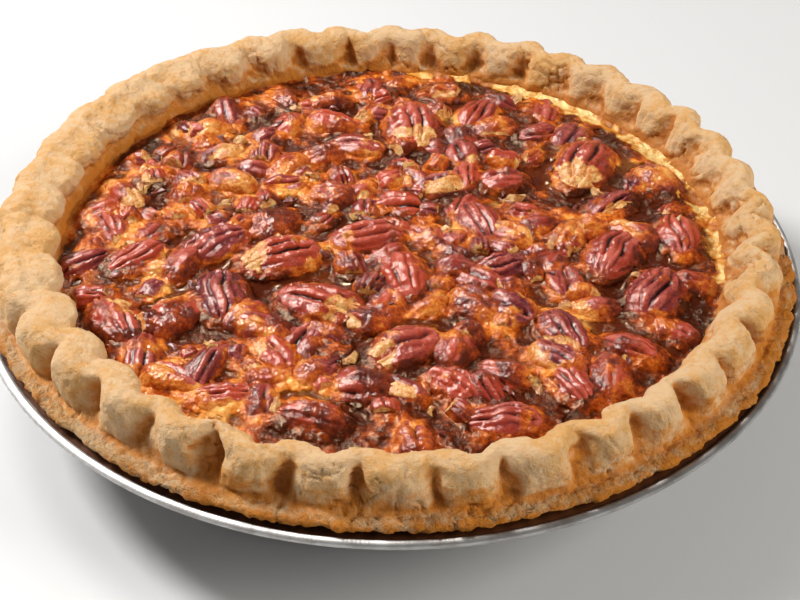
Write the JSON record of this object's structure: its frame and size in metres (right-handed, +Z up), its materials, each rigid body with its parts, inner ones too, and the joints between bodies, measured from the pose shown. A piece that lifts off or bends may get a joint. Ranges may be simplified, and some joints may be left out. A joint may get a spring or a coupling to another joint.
{
  "type": "pecan pie",
  "caption": "Whole round pecan pie in its foil tin: thick fluted pastry edge, glossy baked filling and roasted pecan halves and pieces laid over the top.",
  "frame": {"origin": "middle of the tin's flat underside, which stands on the plate or table", "axes": "+Z up out of the pie; -Y is the side nearest the person it is served to, +X to their right"},
  "size_m": [0.2446, 0.2446, 0.0493],
  "materials": {
    "foil": "bare pressed foil, bright, with pleats",
    "pastry": "matt baked shortcrust, golden, browner at the lip",
    "filling": "baked syrup filling, glossy and bubbled",
    "pecan": "roasted pecan skin with a thin syrup glaze"
  },
  "bodies": {
    "root": {"filling": "filling", "foil_tin": "foil", "pastry_case": "pastry", "pecan_half_01": "pecan", "pecan_half_02": "pecan", "pecan_half_03": "pecan", "pecan_half_04": "pecan", "pecan_half_05": "pecan", "pecan_half_06": "pecan", "pecan_half_07": "pecan", "pecan_half_08": "pecan", "pecan_half_09": "pecan", "pecan_half_10": "pecan", "pecan_half_11": "pecan", "pecan_half_12": "pecan", "pecan_half_13": "pecan", "pecan_half_14": "pecan", "pecan_half_15": "pecan", "pecan_half_16": "pecan", "pecan_half_17": "pecan", "pecan_half_18": "pecan", "pecan_half_19": "pecan", "pecan_half_20": "pecan", "pecan_half_21": "pecan", "pecan_half_22": "pecan", "pecan_half_23": "pecan", "pecan_half_24": "pecan", "pecan_half_25": "pecan", "pecan_half_26": "pecan", "pecan_half_27": "pecan", "pecan_half_28": "pecan", "pecan_half_29": "pecan", "pecan_piece_01": "pecan", "pecan_piece_02": "pecan", "pecan_piece_03": "pecan", "pecan_piece_04": "pecan", "pecan_piece_05": "pecan", "pecan_piece_06": "pecan", "pecan_piece_07": "pecan", "pecan_piece_08": "pecan", "pecan_piece_09": "pecan", "pecan_piece_10": "pecan", "pecan_piece_11": "pecan", "pecan_piece_12": "pecan", "pecan_piece_13": "pecan", "pecan_piece_14": "pecan", "pecan_piece_15": "pecan", "pecan_piece_16": "pecan", "pecan_piece_17": "pecan", "pecan_piece_18": "pecan", "pecan_piece_19": "pecan", "pecan_piece_20": "pecan", "pecan_piece_21": "pecan"}
  },
  "joints": []
}
